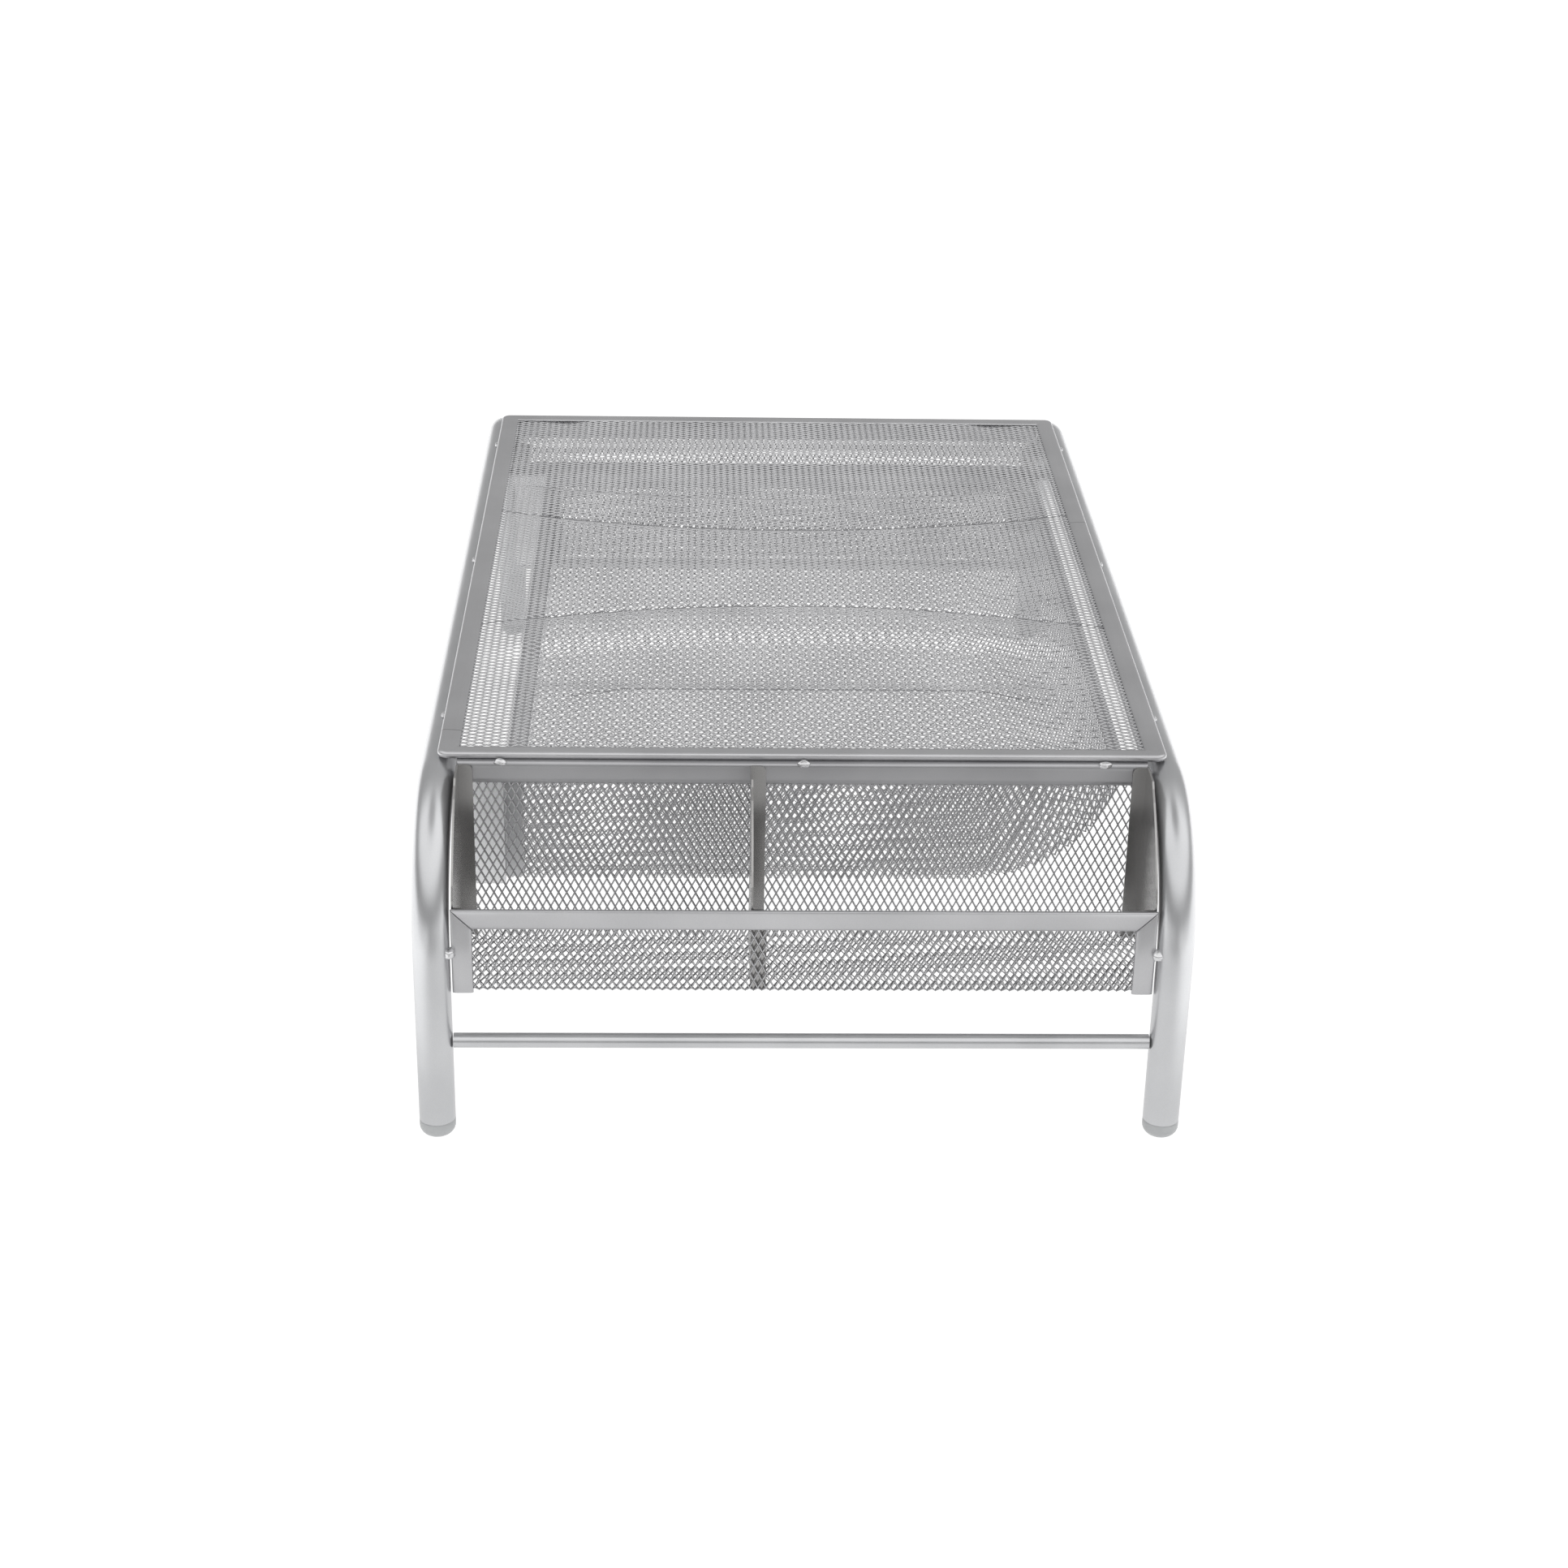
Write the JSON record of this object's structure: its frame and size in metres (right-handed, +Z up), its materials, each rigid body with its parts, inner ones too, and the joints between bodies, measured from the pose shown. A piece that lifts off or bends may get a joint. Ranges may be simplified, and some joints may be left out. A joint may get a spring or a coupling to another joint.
{
  "type": "monitor riser stand",
  "caption": "Low desk riser with a mesh deck on two bent tube frames, an open mesh pocket on each end and a mesh drawer that slides out at the front.",
  "frame": {"origin": "on the floor under the middle of the stand", "axes": "+X along the stand to the right-hand pocket, +Y to the back, +Z up; the drawer slides out towards -Y"},
  "size_m": [0.515, 0.295, 0.14],
  "materials": {
    "tube": "satin silver paint",
    "strip": "satin silver paint on folded sheet",
    "mesh": "satin silver paint on expanded metal",
    "plate": "satin silver paint on sheet",
    "foot": "translucent grey soft plastic"
  },
  "bodies": {
    "stand": {"frame_tube_front": "tube", "frame_tube_rear": "tube", "crossbar_left": "tube", "foot_cap_left_front": "foot", "foot_cap_left_rear": "foot", "crossbar_right": "tube", "foot_cap_right_front": "foot", "foot_cap_right_rear": "foot", "deck_mesh": "mesh", "deck_hem_front": "strip", "deck_hem_rear": "strip", "deck_hem_left": "strip", "deck_hem_right": "strip", "left_pocket_mesh": "mesh", "left_pocket_top_hem": "strip", "left_lip_hem": "strip", "left_lip_strip_front": "strip", "left_lip_strip_rear": "strip", "left_plate_front": "plate", "left_plate_rear": "plate", "left_divider": "plate", "right_pocket_mesh": "mesh", "right_pocket_top_hem": "strip", "right_lip_hem": "strip", "right_lip_strip_front": "strip", "right_lip_strip_rear": "strip", "right_plate_front": "plate", "right_plate_rear": "plate", "drawer_rail_left": "strip", "drawer_rail_web_left": "strip", "drawer_rail_stop_left": "strip", "drawer_back_stop_left": "plate", "drawer_rail_right": "strip", "drawer_rail_web_right": "strip", "drawer_rail_stop_right": "strip", "drawer_back_stop_right": "plate"},
    "drawer": {"drawer_floor_mesh": "mesh", "drawer_front_mesh": "mesh", "drawer_side_left": "mesh", "drawer_side_right": "mesh", "drawer_front_hem": "strip", "drawer_back_hem": "strip", "drawer_corner_left": "strip", "drawer_corner_right": "strip", "drawer_runner_left": "strip", "drawer_runner_tab_left": "strip", "drawer_side_hem_left": "strip", "drawer_runner_right": "strip", "drawer_runner_tab_right": "strip", "drawer_side_hem_right": "strip"}
  },
  "joints": [
    {"name": "drawer_slide", "type": "slide", "parent": "stand", "child": "drawer", "axis": [0, -1, 0], "range_m": [0, 0.184]}
  ]
}
